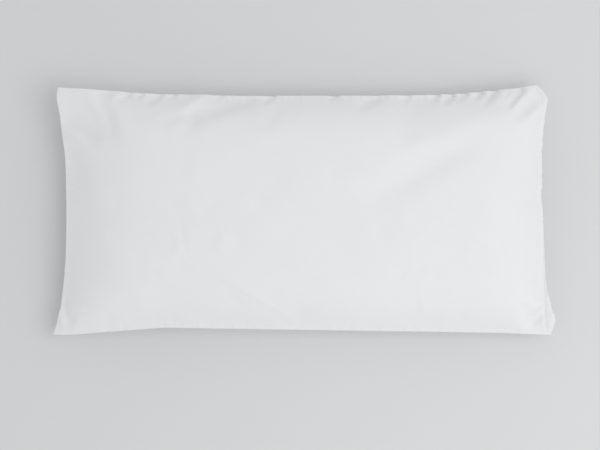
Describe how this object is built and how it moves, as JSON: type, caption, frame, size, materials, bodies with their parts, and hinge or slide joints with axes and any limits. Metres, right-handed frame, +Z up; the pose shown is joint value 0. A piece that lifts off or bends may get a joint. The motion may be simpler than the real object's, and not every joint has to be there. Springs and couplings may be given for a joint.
{
  "type": "filled pillowcase",
  "caption": "Plump rectangular bed pillow in a plain white cotton case with a hemmed open end, lying on its back.",
  "frame": {"origin": "middle of the overall box, on the surface that the pillow lies on", "axes": "+Z up, out of the pillow's face; +X along its length, towards the open hemmed end; +Y across it, towards the upper long seam"},
  "size_m": [0.7858, 0.3942, 0.105],
  "materials": {
    "cotton": "plain weave, matte with a faint sheen"
  },
  "bodies": {
    "root": {"filled_pillowcase": "cotton"}
  },
  "joints": []
}
